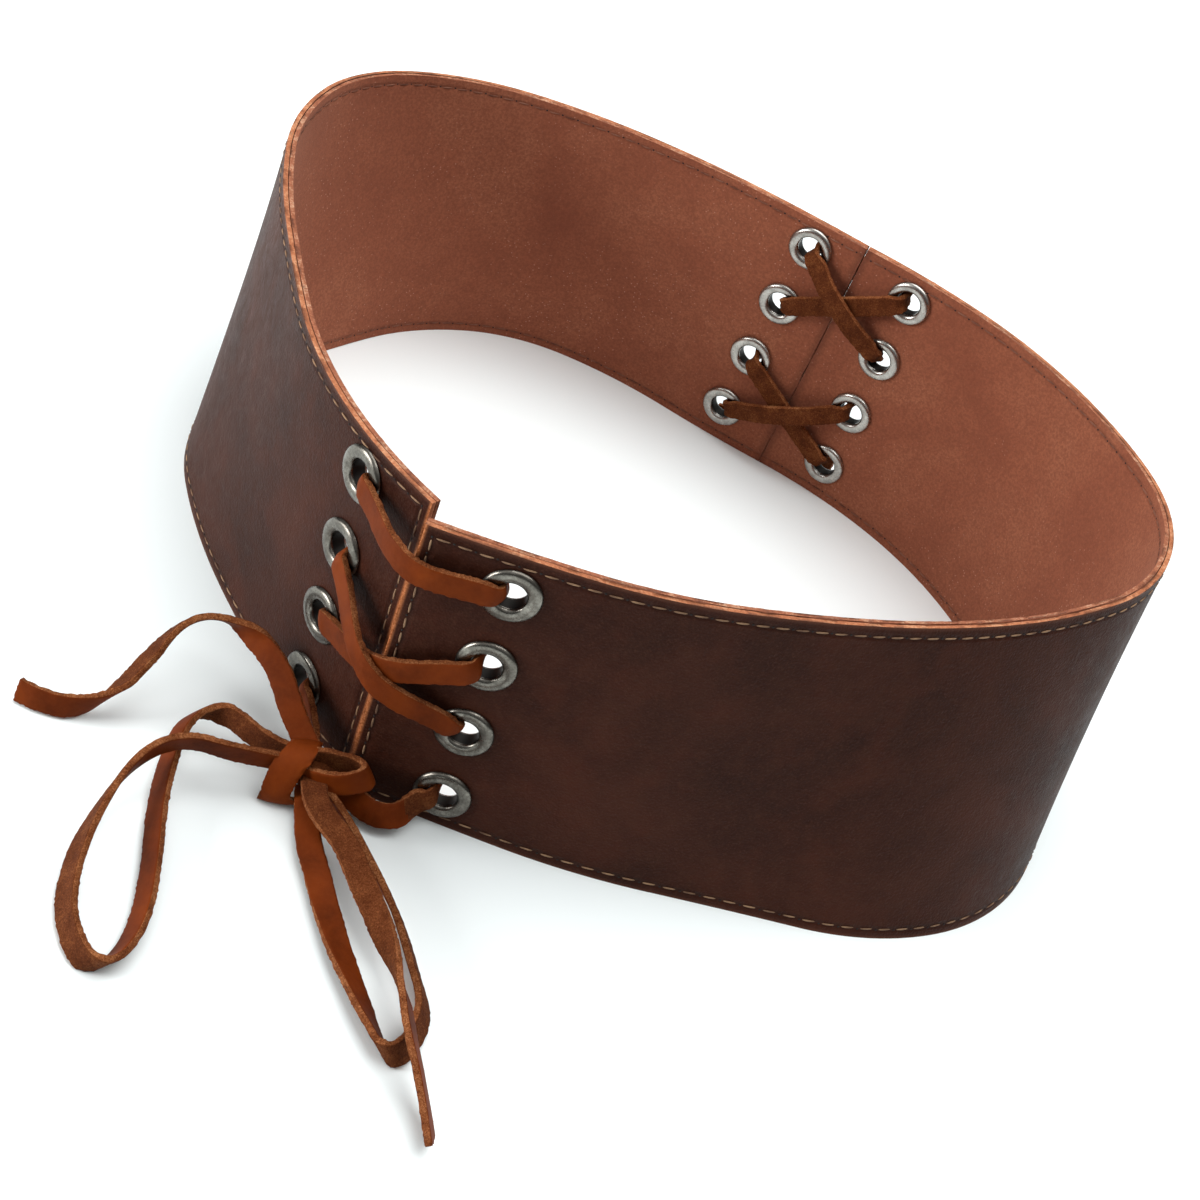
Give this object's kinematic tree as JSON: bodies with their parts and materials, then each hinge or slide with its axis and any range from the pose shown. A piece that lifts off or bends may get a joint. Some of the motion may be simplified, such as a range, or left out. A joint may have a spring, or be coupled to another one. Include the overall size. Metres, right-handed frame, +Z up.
{
  "type": "corset belt",
  "caption": "Wide two-panel leather waist belt, laced flat through metal grommets at front and back seams, front lace tied in a bow.",
  "frame": {"origin": "on the floor, at the middle of the belt's bounding box without the loose lengths of lace", "axes": "+Z up the belt's height, -Y towards the front seam and the bow"},
  "size_m": [0.3458, 0.4056, 0.114],
  "materials": {
    "smooth_leather": "satin",
    "suede": "matt nap",
    "antique_nickel": "antiqued, polished high spots",
    "lace_leather": "satin face, rough edges"
  },
  "bodies": {
    "root": {"right_outer": "smooth_leather", "left_outer": "smooth_leather", "right_lining": "suede", "left_lining": "suede", "front_right_grommet_1": "antique_nickel", "front_right_grommet_2": "antique_nickel", "front_right_grommet_3": "antique_nickel", "front_right_grommet_4": "antique_nickel", "front_left_grommet_1": "antique_nickel", "front_left_grommet_2": "antique_nickel", "front_left_grommet_3": "antique_nickel", "front_left_grommet_4": "antique_nickel", "back_right_grommet_1": "antique_nickel", "back_right_grommet_2": "antique_nickel", "back_right_grommet_3": "antique_nickel", "back_right_grommet_4": "antique_nickel", "back_left_grommet_1": "antique_nickel", "back_left_grommet_2": "antique_nickel", "back_left_grommet_3": "antique_nickel", "back_left_grommet_4": "antique_nickel", "front_lace": "lace_leather", "back_lace": "lace_leather", "bow_knot": "lace_leather", "back_knot": "lace_leather", "bow_loop_left": "lace_leather", "bow_loop_lower": "lace_leather", "bow_end_left": "lace_leather", "bow_end_lower": "lace_leather", "back_end_left": "lace_leather", "back_end_right": "lace_leather"}
  },
  "joints": []
}
